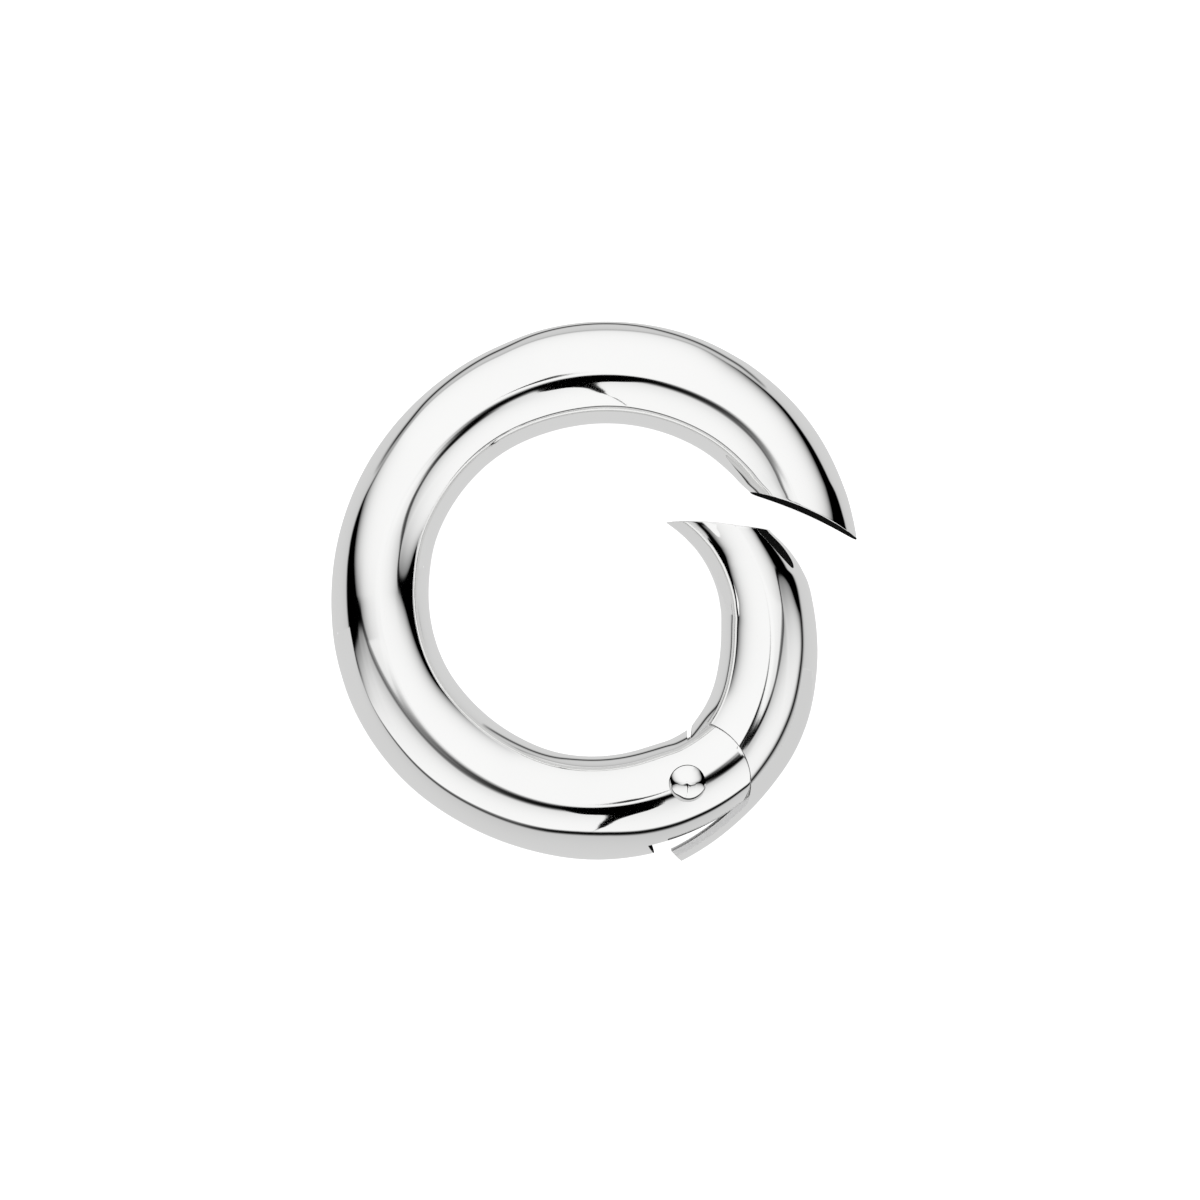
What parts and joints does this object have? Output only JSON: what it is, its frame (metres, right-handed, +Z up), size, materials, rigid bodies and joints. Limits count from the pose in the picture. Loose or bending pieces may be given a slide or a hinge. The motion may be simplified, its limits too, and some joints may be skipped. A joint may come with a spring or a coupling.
{
  "type": "circle connector",
  "caption": "Round ring clasp of polished silver wire with a curved gate hinged on a ball-headed pin, shown with the gate swung partly inward.",
  "frame": {"origin": "middle of the clasp's box on the plane that it lies on", "axes": "+Z up, along the hinge pin towards its ball head; +Y towards the top of the ring, with the hinge at low right and the open tip at upper right"},
  "size_m": [0.0118, 0.012, 0.0025],
  "materials": {
    "ring_body": "mirror polished silver",
    "gate": "mirror polished silver",
    "hinge_pin": "mirror polished silver"
  },
  "bodies": {
    "ring": {"ring_body": "ring_body", "hinge_pin": "hinge_pin"},
    "gate": {"gate": "gate"}
  },
  "joints": [
    {"name": "gate_hinge", "type": "hinge", "parent": "ring", "child": "gate", "pos_m": [0.00209, -0.00421, 0.0011], "axis": [0, 0, 1], "range_deg": [-17, 4]}
  ]
}
